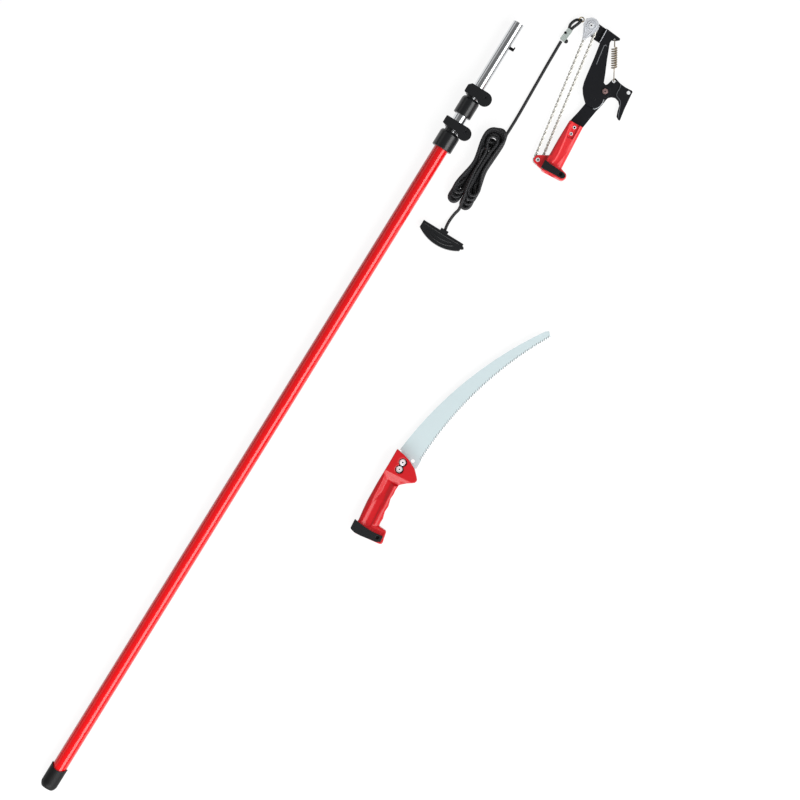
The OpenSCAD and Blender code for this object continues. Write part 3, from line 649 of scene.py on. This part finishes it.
def hank_route():
    """The hank from where the lead enters to where the tail leaves: layers of a double loop each."""
    route = [(11, 78, ROPE_R), (14, 66, ROPE_R)]
    for n, (inner_y, inner_r, lobe_y, waist, inner_waist, aside, slow, quick) in enumerate(LAYERS):
        z = ROPE_R + LAYER_RISE * n
        outer_r = OUTER_R - 3 * (n % 2)
        outer = dict(y_top=TOP_Y, y_low=lobe_y, z=z, pinch=slow)
        inner = dict(y_top=inner_y, y_low=lobe_y, z=z, pinch=quick)
        route += leg(TOP_X + outer_r, waist, RIGHT_LOBE + TURN_R, **outer)
        route += turn_round(RIGHT_LOBE, lobe_y, TURN_R, 0, -math.pi, z, z)
        route += leg(TOP_X + inner_r, aside + inner_waist, RIGHT_LOBE - TURN_R, **inner)[::-1]
        route += turn_round(TOP_X, inner_y, inner_r, 0, math.pi, z, z)
        down = leg(TOP_X - inner_r, aside - inner_waist, LEFT_LOBE + TURN_R, **inner)
        if n == len(LAYERS) - 1:
            route += down[: 2 * len(down) // 3]
            break
        route += down
        route += turn_round(LEFT_LOBE, lobe_y, TURN_R, 0, -math.pi, z, z)
        route += leg(TOP_X - outer_r, -waist, LEFT_LOBE - TURN_R, **outer)[::-1]
        route += turn_round(TOP_X, TOP_Y, outer_r, math.pi, -math.pi, z, z + LAYER_RISE, HUMPS[n])
    # Out between the lobes, and down to the tail
    route += [(0, -48, z), (4, -62, z), (7, -76, z - 5), (8.5, -86, 9), (9, -93, 4)]
    return [Vector(p) + HANK_AT for p in route]


def relaxed(path, passes):
    """A path with its kinks eased out, its two ends kept."""
    for _ in range(passes):
        middle = [(a + 2 * b + c) / 4 for a, b, c in zip(path, path[1:], path[2:])]
        path = [path[0], *middle, path[-1]]
    return path


def make_ropes():
    """The pull rope: its lead from the clip, and the coiled hank with its tail."""
    lead = smooth_path(LEAD_ROUTE, 3)
    piece = build(
        tube(lead, ROPE_R), "rope_lead_braid", ROW, "pruner_frame", "rope", ["rope_lead"], weigh=False
    )
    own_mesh(piece)
    hank = relaxed(smooth_path(hank_route() + [Vector(p) for p in TAIL_ROUTE], 2.5), 4)
    piece = build(
        tube(hank, ROPE_R, 10), "rope_hank_braid", ROW, "pruner_frame", "rope", ["rope_hank", "rope_tail"]
    )
    return piece, hank


def make_loop():
    """The rope's looped end through the ring, and its knot: a ball with its wraps pressed into it."""
    loop = smooth_path(LOOP_ROUTE, 1.5)
    build(tube(loop, LOOP_R), "rope_loop_braid", PRUNER, "pulley_carriage", "rope", ["rope_loop"])
    knot = bmesh.new()
    bmesh.ops.create_icosphere(knot, subdivisions=3, radius=KNOT_R)
    for v in knot.verts:
        wrap = math.sin(WRAPS * math.atan2(v.co.y, v.co.x) + 1.2 * v.co.z)
        v.co *= 1 - WRAP_DEPTH * (1 + wrap) / 2
    bmesh.ops.translate(knot, vec=KNOT_AT, verts=knot.verts)
    build(knot, "rope_knot_wound", PRUNER, "pulley_carriage", "rope", ["rope_knot"])


def make_pull_handle():
    """The pull handle with a raised line under its top edge and two curved ribs over its bow."""
    bm = from_cad("pull_handle", ROW)
    soften(bm, 2.2, 3)
    bead(bm, [(-123, 395.2), (-84, 394.4), (-47, 395.2)], 1.5, 0.5)
    bead(bm, [(-113, 386.5), (-100, 380.6), (-84, 378.4), (-68, 380.6), (-55, 386.5)], 1.8, 0.6)
    bead(bm, [(-106, 389.4), (-84, 385.2), (-62, 389.4)], 1.3, 0.4)
    return build(bm, "pull_handle_ribbed", ROW, "pruner_frame", "nylon", ["pull_handle"])


# ---- carved and beaded parts -----------------------------------------------------------------------

# Width of the grid on which the two handles are rounded, in millimetres, and how many times over
MOULD_GRID, MOULD_PASSES = 0.8, 6


def make_pruner_handle():
    """The pruner's handle with its two long ridges, its rivets and its latch pin."""
    bm = from_cad("pruner_handle", PRUNER)
    bead(bm, [(-14.5, 95), (-12, 72), (-9.5, 45), (-9, 25), (-12, 14)], 3.2, 2.0)
    bead(bm, [(7.5, 66), (6, 45), (1, 22), (-1, 14.5)], 1.6, 0.9)
    bm = moulded(bm, MOULD_GRID, MOULD_PASSES)
    build(bm, "pruner_handle_ridged", PRUNER, "pruner_frame", "pruner_red", ["pruner_handle"], 180, False)
    drilled("handle_rivets", PRUNER, "pruner_frame", "zinc", RIVETS, 1.9)
    latch_pin = centre_of("pruner_latch_pin", PRUNER)
    drilled("pruner_latch_pin", PRUNER, "pruner_frame", "hollow", [latch_pin], 1.8)
    drilled("lower_pulley_rivet", PRUNER, "pruner_frame", "zinc", [LOW_WHEEL], 1.8)
    drilled("pivot_bolt", PRUNER, "pruner_frame", "copper", [PIVOT], 1.3)


def make_lever_arm():
    """The cutting arm's lever, with highlights painted along its pressed rib and along its fold."""
    bm = from_cad("lever_arm", PRUNER)
    soften(bm, 0.6)
    fold = over_surface(bm, [(-38, 260.5), (-37.7, 274), (-37.5, 288)])
    # A light grey line along the fold: painted highlight.
    build(tube(fold, 0.8, 8), "lever_fold_highlight", PRUNER, "cutting_arm", "bare_steel_and_highlight")
    rib = over_surface(bm, [(-22.5, 258.5), (-25, 260.8), (-27.5, 258), (-26.5, 245), (-24, 220)])
    # A grey line along the pressed rib: painted highlight.
    build(tube(rib, 0.9, 8), "lever_rib_highlight", PRUNER, "cutting_arm", "edge_highlight")
    build(bm, "lever_arm_softened", PRUNER, "cutting_arm", "paint", ["lever_arm"])


def make_cheek():
    """The hook's cheek with a highlight painted along its inner edge, and the blade's bright bevel."""
    bm = from_cad("hook_cheek", PRUNER)
    soften(bm, 0.8)
    upper = [(35, 208), (37, 202), (36.6, 197), (36.6, 190), (39.4, 185.2)]
    lower = [(46.4, 182), (50.6, 178), (55.6, 165), (57.8, 157.5), (61, 151)]
    # A grey line along the cheek's inner edge: painted highlight.
    edge_highlight = tube(over_surface(bm, upper + lower), 0.55, 8)
    build(edge_highlight, "hook_edge_highlight", PRUNER, "pruner_frame", "edge_highlight")
    build(bm, "hook_cheek_softened", PRUNER, "pruner_frame", "paint", ["hook_cheek"])
    bm = from_cad("pruner_blade", PRUNER)
    soften(bm, 0.5)
    bevel = over_surface(bm, [(20.4, 168), (20.9, 160), (18.6, 150.6), (13, 143.8), (10.5, 142.8)])
    build(tube(bevel, 0.8, 8), "pruner_blade_bevel", PRUNER, "cutting_arm", "bare_steel_and_highlight")
    build(bm, "pruner_blade_coated", PRUNER, "cutting_arm", "paint", ["pruner_blade"])


def make_bracket():
    """The pulley bracket with a raised ring round its screw and two beads down to the chain tie."""
    bm = from_cad("pulley_bracket", PRUNER)
    soften(bm, 0.4)
    top = top_of("pulley_bracket", PRUNER)
    for side in (-1, 1):
        bead(bm, [(CHAIN_TIE.x + 8 * side, 273), (CHAIN_TIE.x + 2.4 * side, 256.5)], 0.7)
    ring = [(7, top - 0.3), (7.9, top + 1.1), (8.9, top + 1.1), (9.8, top - 0.3), (7, top - 0.3)]
    join(bm, turned(ring, TOP_WHEEL))
    build(bm, "pulley_bracket_pressed", PRUNER, "pulley_carriage", "galvanised", ["pulley_bracket"])
    at, ring_r, wire_r = centre_of("chain_end_ring", PRUNER), 4.6, 1.0
    angles = [a * math.pi / 4 for a in range(9)]
    wire = [(ring_r + wire_r * math.cos(a), WHEEL_Z + wire_r * math.sin(a)) for a in angles]
    end_ring = turned(wire, at, 32)
    build(end_ring, "chain_end_ring_round", PRUNER, "pulley_carriage", "brass", ["chain_end_ring"])
    drilled("top_pulley_screw", PRUNER, "cutting_arm", "zinc", [TOP_WHEEL], 1.5)
    clip_top = top_of("rope_clip", PRUNER)
    # A dark disc where the clip's hole is: painted shade.
    discs("rope_clip_hole_shade", PRUNER, "pulley_carriage", [(-104.2, 246.4)], 2.6, clip_top + 0.1)


def make_teeth():
    """A dark facet on each tooth of the saw blade, painted shade at its gullet; the blade cuts on an arc in
    pairs.
    """
    centre, radius, first, last, pairs = Vector((728, 107)), 704, 174.4, 146.5, 40
    step = (last - first) / pairs
    top = top_of("saw_blade", SAW)
    bm = bmesh.new()
    for k in range(pairs):
        # Where in the pair's step each tooth has its tip and its gullet, and the gullet's depth
        for tip, gullet, deep in ((0, 0.22, 2.6), (0.45, 0.72, 3.6)):
            corners = []
            for share, inward in ((tip, 0), (gullet, deep), (gullet + 0.05, deep + 2), (tip + 0.02, 2.4)):
                a = math.radians(first + (k + share) * step)
                corners.append(centre + (radius + inward) * Vector((math.cos(a), math.sin(a))))
            join(bm, frustum(corners, corners, top - 0.2, top + 0.03))
    # Painted shade at the teeth's gullets.
    build(bm, "saw_teeth_shaded", SAW, "saw_head", "tooth_shade")


def make_saw_handle():
    """The saw's handle: a sunk panel down the grip, the shoulder under its head, grooves over the latch."""
    bm = from_cad("saw_handle", SAW)
    above = 34
    for low, high, floor in (
        # The panel over the socket, which is deeper past the socket's end, and the shoulder
        ([(-14, 20), (-3, 20), (-3, 113), (-14, 113)], [(-31, 4), (6, 4), (6, 131.5), (-31, 131.5)], 27.5),
        ([(-13, 88), (-5, 88), (-5, 113), (-13, 113)], [(-28, 36), (9, 36), (9, 131.5), (-28, 131.5)], 25),
        (
            [(-13, 113.5), (46, 113.5), (46, 114.5), (-13, 114.5)],
            [(-28, 107), (52, 107), (52, 131.5), (-28, 131.5)],
            24,
        ),
    ):
        bm = carve(bm, frustum(low, high, floor, above))
    bm = groove(bm, [(-12, 18.8), (15, 21.5), (27, 20.5)], 1.1)
    bm = groove(bm, [(0, 16.2), (27, 17.6)], 1.0)
    bm = moulded(bm, MOULD_GRID, MOULD_PASSES)
    build(bm, "saw_handle_panelled", SAW, "saw_head", "saw_red", ["saw_handle"], 180, False)
    bm = from_cad("saw_screws", SAW)
    for at in SCREWS:
        dome = [(1.5, 27.3), (1.5, 28.2), (4.6, 28.2), (5.9, 27.6), (6.3, 26.6), (1.5, 26.6), (1.5, 27.3)]
        join(bm, turned(dome, at, 32))
    build(bm, "saw_screws_domed", SAW, "saw_head", "zinc", ["saw_screws"])
    # Dark discs in the middles of the screw domes: painted shade.
    discs("saw_screw_recess_shade", SAW, "saw_head", SCREWS, 1.5, 27.8)
    # Dark rings round the screw heads in their pocket: painted shade.
    discs("saw_screw_pocket_shade", SAW, "saw_head", SCREWS, 7.8, 26.8)
    drilled("saw_latch_pin", SAW, "saw_head", "hollow", [SAW_PIN], 1.8)


# ---- chain and spring ------------------------------------------------------------------------------

# Radii of the chain's centre line on the wheels, and the angle at which it leaves the top one for its ring
TOP_PITCH, LOW_PITCH, CHAIN_LEAVE = 12.2, 6.65, math.radians(115)
# The two angles to which the links are rolled by turns, in degrees
LINK_ROLLS = (18, 84)
# Each run, the way its upper end travels as the arm closes, and the share of its length that is left
RUNS = (("chain_left_run", (24.6, 148.3, 0), 0.364), ("chain_right_run", (36.6, 145.8, 0), 0.421))
SPRING_HOLE, EYELET = Vector((-15.5, 278, 0)), Vector((20.5, 208, 0))


def link_shape(pitch):
    """One chain link lying along X, of round wire, as a ring drawn out to an oval."""
    wire, width, steps = 1.35, 6.0, 8
    bm = bmesh.new()
    ring = bmesh.ops.create_circle(bm, cap_ends=False, segments=5, radius=wire)["verts"]
    turn = Matrix.Translation((width / 2 - wire, 0, 0)) @ Matrix.Rotation(math.pi / 2, 4, "X")
    bmesh.ops.transform(bm, matrix=turn, verts=ring)
    half_step = Matrix.Rotation(math.pi / steps, 3, "Z")
    bmesh.ops.rotate(bm, cent=(0, 0, 0), matrix=half_step, verts=bm.verts)
    spun = dict(geom=bm.verts[:] + bm.edges[:], cent=(0, 0, 0), axis=(0, 0, 1), angle=2 * math.pi)
    bmesh.ops.spin(bm, **spun, steps=steps, use_merge=True)
    bmesh.ops.remove_doubles(bm, verts=bm.verts, dist=0.001)
    reach = (pitch - width + 4 * wire) / 2
    for v in bm.verts:
        v.co.x += reach if v.co.x > 0 else -reach
    bmesh.ops.recalc_face_normals(bm, faces=bm.faces)
    mesh = bpy.data.meshes.new("link")
    bm.to_mesh(mesh)
    bm.free()
    return mesh


def chain_run(name, path, pitch, body):
    """Links set along a path, rolled by turns to one angle and the other."""
    link = link_shape(pitch)
    bm = bmesh.new()
    path = [Vector(p) for p in path]
    total = path_length(path)
    count = max(1, round(total / pitch))
    stations = [(k + 0.5) * total / count for k in range(count)]
    run, i = 0.0, 0
    for k, at in enumerate(stations):
        while i < len(path) - 2 and run + (path[i + 1] - path[i]).length < at:
            run += (path[i + 1] - path[i]).length
            i += 1
        d = (path[i + 1] - path[i]).normalized()
        spot = path[i] + d * (at - run)
        turn = Vector((1, 0, 0)).rotation_difference(d).to_matrix().to_4x4()
        roll = Matrix.Rotation(math.radians(LINK_ROLLS[k % 2]), 4, "X")
        start = len(bm.verts)
        bm.from_mesh(link)
        bm.verts.ensure_lookup_table()
        bmesh.ops.transform(bm, matrix=Matrix.Translation(spot) @ turn @ roll, verts=bm.verts[start:])
    bpy.data.meshes.remove(link)
    return build(bm, name, PRUNER, body, "nickel", smooth=60, weigh=False)


def wheel_point(centre, radius, angle):
    """A point of the chain on a wheel."""
    return (centre.x + radius * math.cos(angle), centre.y + radius * math.sin(angle), WHEEL_Z)


def make_chain(pitch):
    """The chain in four lengths: over the top wheel, both runs, and under the lower wheel."""
    between = TOP_WHEEL - LOW_WHEEL
    right = math.atan2(between.y, between.x) - math.acos((LOW_PITCH - TOP_PITCH) / between.length)
    to_tie = CHAIN_TIE - LOW_WHEEL
    left = math.atan2(to_tie.y, to_tie.x) + math.acos(LOW_PITCH / to_tie.length)
    over = [wheel_point(TOP_WHEEL, TOP_PITCH, right + (CHAIN_LEAVE - right) * k / 12) for k in range(13)]
    sweep = 2 * math.pi + right - left
    lead_off = Vector((-math.sin(CHAIN_LEAVE), math.cos(CHAIN_LEAVE), 0))
    over.append(Vector(over[-1]) + 8 * lead_off)
    under = [wheel_point(LOW_WHEEL, LOW_PITCH, left + sweep * k / 12) for k in range(13)]
    tie = (CHAIN_TIE.x, CHAIN_TIE.y, WHEEL_Z)
    first = chain_run("chain_over_top_wheel", over, pitch, "pulley_carriage")
    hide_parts("chain")
    chain_run("chain_under_lower_wheel", under, pitch, "pruner_frame")
    for (name, fall, keep), path in zip(RUNS, ([tie, under[0]], [over[0], under[-1]])):
        piece = chain_run(name, path, pitch, "pruner_frame")
        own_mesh(piece)


def make_spring():
    """Extension spring: a coil of nine turns with a straight hooked leg at each end."""
    along = (EYELET - SPRING_HOLE).normalized()
    across = UP.cross(along)
    run = (EYELET - SPRING_HOLE).length
    leg_wire, wire, coil_r, coil_z, turns, sides = 1.0, 1.4, 4.85, 13, 9, 18
    start, end = 15, 55
    high = coil_z + coil_r

    def at(way, z):
        return SPRING_HOLE + way * along + z * UP

    path = [at(0, 12.6), at(0, high - 1), at(1, high)]
    steps = sides * turns
    for k in range(steps + 1):
        a = 2 * math.pi * k / sides
        out = math.cos(a) * UP + math.sin(a) * across
        path.append(at(start + (end - start) * k / steps, coil_z) + coil_r * out)
    leg_points = [at(end + 8 + (run - end - 9) * k / 7, 12.4) for k in range(8)]
    path += [at(end + 3, coil_z + 2), *leg_points, EYELET + 11 * UP, EYELET + 5.2 * UP]
    radii = [leg_wire] * 3 + [wire] * (steps + 1) + [leg_wire] * 11
    coil = tube(path, radii, 8)
    piece = build(coil, "return_spring_wound", PRUNER, None, "spring", ["return_spring"], 60, weigh=False)
    # The coil stays straight on the arm, and the lower leg takes up the turn.
    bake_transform(piece)


# ---- operators -------------------------------------------------------------------------------------


def panel_colour(name, description, default):
    """A colour of the panel, from its sRGB hex value."""
    rgb = linear(default)[:3]
    return FloatVectorProperty(name=name, description=description, subtype="COLOR", min=0, max=1, default=rgb)


class PoleSawLook(bpy.types.PropertyGroup):
    tube_red: panel_colour("Tube red", "Enamel on the base tube", "#e0040c")
    saw_red: panel_colour("Saw handle red", "Moulding of the saw head", "#bf1019")
    pruner_red: panel_colour("Pruner handle red", "Moulding of the pruner head", "#e22c32")
    moulding_black: panel_colour("Moulding black", "Collars, levers and latches", "#18191b")
    plate_black: panel_colour("Plate black", "Paint on the pruner's plates", "#131418")
    rope_black: panel_colour("Rope black", "Yarns of the pull rope", "#3a3b3f")
    chain_pitch: FloatProperty(
        name="Chain pitch",
        description="Distance from link to link",
        unit="LENGTH",
        default=0.0056,
        min=0.003,
        max=0.008,
    )


# Where the camera hangs, in metres, and how far the pole leans in its view, in degrees
CAMERA_AT, CAMERA_TURN = (0.0132, 0.0839, 5.085), 31.71


class POLESAW_OT_camera(bpy.types.Operator):
    bl_idname = "polesaw.camera"
    bl_label = "Camera"

    def execute(self, context):
        data = bpy.data.cameras.new("camera")
        data.lens = 120
        data.sensor_width = 36
        data.clip_end = 20
        camera = put("camera", data)
        camera.location = CAMERA_AT
        camera.rotation_euler = (0, 0, math.radians(CAMERA_TURN))
        context.scene.camera = camera
        return {"FINISHED"}


class POLESAW_OT_rope(bpy.types.Operator):
    """Pull rope, its loop and knot, and the pull handle"""

    bl_idname = "polesaw.rope"
    bl_label = "Rope"

    def execute(self, context):
        make_finishes(context.scene.pole_saw)
        piece, hank = make_ropes()
        make_loop()
        handle = make_pull_handle()
        return {"FINISHED"}


class POLESAW_OT_pole(bpy.types.Operator):
    """Telescoping pole: tubes, end cap, clamp collars, lock levers and snap button"""

    bl_idname = "polesaw.pole"
    bl_label = "Pole"

    def execute(self, context):
        for part, body, look, width in (
            ("base_tube", "base", "enamel", 0.3),
            ("end_cap", "base", "rubber", 0.5),
            ("lower_collar", "base", "nylon", 0.6),
            ("lower_clamp_nut", "base", "zinc", 0.3),
            ("lower_lock_lever", "lower_lever", "nylon", 1.2),
            ("mid_tube", "mid_section", "aluminium", 0.3),
            ("mid_tube_bush", "mid_section", "nylon", 0.3),
            ("upper_collar", "mid_section", "nylon", 0.6),
            ("upper_clamp_nut", "mid_section", "zinc", 0.3),
            ("upper_lock_lever", "upper_lever", "nylon", 1.2),
            ("top_tube", "top_section", "aluminium", 0.3),
            ("top_tube_bush", "top_section", "nylon", 0.3),
            ("snap_button", "button", "hollow", 0.3),
            ("button_spring", "top_section", "zinc", 0.1),
        ):
            rounded(part, POLE, body, look, width, 3 if "lever" in part else 2)
        for part, body in (("lower_clamp_bolt", "base"), ("upper_clamp_bolt", "mid_section")):
            drilled(part, POLE, body, "nylon", [centre_of(part, POLE)], 1.4)
        return {"FINISHED"}


class POLESAW_OT_pruner(bpy.types.Operator):
    """Rope pruner head: handle, plates, blade, lever, pulleys and small parts"""

    bl_idname = "polesaw.pruner"
    bl_label = "Pruner head"

    def execute(self, context):
        for part, body, look, width in (
            ("pruner_latch_lever", "pruner_latch", "nylon", 1.0),
            ("frame_plate", "pruner_frame", "paint", 0.6),
            ("hook_rivet", "pruner_frame", "zinc", 0.5),
            ("spring_eyelet", "pruner_frame", "zinc", 0.4),
            ("blade_rivet", "cutting_arm", "paint", 0.3),
            ("pivot_nut", "pruner_frame", "copper", 0.6),
            ("top_pulley", "top_wheel", "zinc", 0.3),
            ("top_pulley_nut", "cutting_arm", "zinc", 0.4),
            ("lower_pulley", "lower_wheel", "zinc", 0.3),
            ("chain_anchor", "pulley_carriage", "zinc", 0.4),
            ("rope_clip", "pulley_carriage", "clip", 0.6),
        ):
            rounded(part, PRUNER, body, look, width)
        make_pruner_handle()
        make_lever_arm()
        make_cheek()
        make_bracket()
        return {"FINISHED"}


class POLESAW_OT_chain(bpy.types.Operator):
    """Chain and return spring of the pruner head"""

    bl_idname = "polesaw.chain"
    bl_label = "Chain and spring"

    def execute(self, context):
        make_chain(context.scene.pole_saw.chain_pitch / MM)
        make_spring()
        return {"FINISHED"}


class POLESAW_OT_saw(bpy.types.Operator):
    """Saw head: blade, handle, screws and latch"""

    bl_idname = "polesaw.saw"
    bl_label = "Saw head"

    def execute(self, context):
        for part, body, look, width in (
            ("saw_blade", "saw_head", "blade", 0.2),
            ("saw_nuts", "saw_head", "zinc", 0.3),
            ("saw_latch_lever", "saw_latch", "nylon", 1.0),
        ):
            rounded(part, SAW, body, look, width)
        make_teeth()
        make_saw_handle()
        return {"FINISHED"}


# Each lamp's place and its two sizes in metres, and its power in watts
LAMPS = (
    ("strip_right", (1.75, -0.1, 1.9), (4.6, 1.7), 104),
    ("strip_left", (-2.3, 0.2, 1.4), (4.0, 1.0), 6),
    ("low_fill", (0.45, -2.4, 1.4), (1.8, 1.3), 42),
)
# Of the floor that the camera or the metal sees, the share that is plain glow, and the glow's strength
FLOOR_SHARE, FLOOR_GLOW = 0.84, 1.07
# Strength of the surroundings as light
WORLD_LIGHT = 0.2


class POLESAW_OT_stage(bpy.types.Operator):
    """Floor, soft lamps and pale surroundings"""

    bl_idname = "polesaw.stage"
    bl_label = "Stage"

    def execute(self, context):
        bm = bmesh.new()
        bmesh.ops.create_grid(bm, x_segments=2, y_segments=2, size=6)
        mesh = bpy.data.meshes.new("floor")
        bm.to_mesh(mesh)
        bm.free()
        floor = put("floor", mesh)
        # White floor: seen directly or in the metal it is mostly plain white, and it keeps its shadows.
        made, tree, shader = finish("white_floor", "#f4f4f4", roughness=0.9)
        path = add(tree, "ShaderNodeLightPath")
        rays = {0: path.outputs["Is Camera Ray"], 1: path.outputs["Is Glossy Ray"]}
        seen = add(tree, "ShaderNodeMath", rays, operation="MAXIMUM").outputs[0]
        share = add(tree, "ShaderNodeMath", {0: seen}, operation="MULTIPLY", inputs={1: FLOOR_SHARE})
        glow = add(tree, "ShaderNodeEmission", inputs={"Strength": FLOOR_GLOW})
        surfaces = {0: share.outputs[0], 1: shader.outputs[0], 2: glow.outputs[0]}
        mix = add(tree, "ShaderNodeMixShader", surfaces)
        tree.links.new(mix.outputs[0], tree.nodes["Material Output"].inputs[0])
        mesh.materials.append(made)
        world = bpy.data.worlds.new("studio")
        context.scene.world = world
        world.use_nodes = True
        tree = world.node_tree
        path = add(tree, "ShaderNodeLightPath")
        back = tree.nodes["Background"]
        levels = {"To Min": WORLD_LIGHT, "To Max": 1.0}
        level = add(tree, "ShaderNodeMapRange", {"Value": path.outputs["Is Camera Ray"]}, inputs=levels)
        tree.links.new(level.outputs[0], back.inputs["Strength"])
        back.inputs["Color"].default_value = (1, 1, 1, 1)
        for name, at, size, power in LAMPS:
            data = bpy.data.lights.new(name, "AREA")
            data.shape = "RECTANGLE"
            data.size, data.size_y = size
            data.energy = power
            lamp = put(name, data)
            lamp.location = at
            lamp.rotation_euler = (Vector((0, 0, 0)) - Vector(at)).to_track_quat("-Z", "Y").to_euler()
        context.scene.view_settings.view_transform = "Standard"
        return {"FINISHED"}


class POLESAW_PT_panel(bpy.types.Panel):
    bl_idname = "POLESAW_PT_panel"
    bl_label = "Pole Saw Kit"
    bl_space_type = "VIEW_3D"
    bl_region_type = "UI"
    bl_category = "Pole Saw"

    def draw(self, context):
        look = context.scene.pole_saw
        for name in look.bl_rna.properties.keys():
            if name not in ("rna_type", "name"):
                self.layout.prop(look, name)
        for operator in OPERATORS:
            self.layout.operator(operator.bl_idname)


OPERATORS = (
    POLESAW_OT_camera,
    POLESAW_OT_rope,
    POLESAW_OT_pole,
    POLESAW_OT_pruner,
    POLESAW_OT_chain,
    POLESAW_OT_saw,
    POLESAW_OT_stage,
)
CLASSES = (PoleSawLook, *OPERATORS, POLESAW_PT_panel)


def register():
    for cls in CLASSES:
        bpy.utils.register_class(cls)
    bpy.types.Scene.pole_saw = PointerProperty(type=PoleSawLook)


def unregister():
    del bpy.types.Scene.pole_saw
    for cls in reversed(CLASSES):
        bpy.utils.unregister_class(cls)


def main():
    register()
    bpy.ops.polesaw.camera()
    bpy.ops.polesaw.rope()
    bpy.ops.polesaw.pole()
    bpy.ops.polesaw.pruner()
    bpy.ops.polesaw.chain()
    bpy.ops.polesaw.saw()
    bpy.ops.polesaw.stage()


if __name__ == "__main__":
    main()
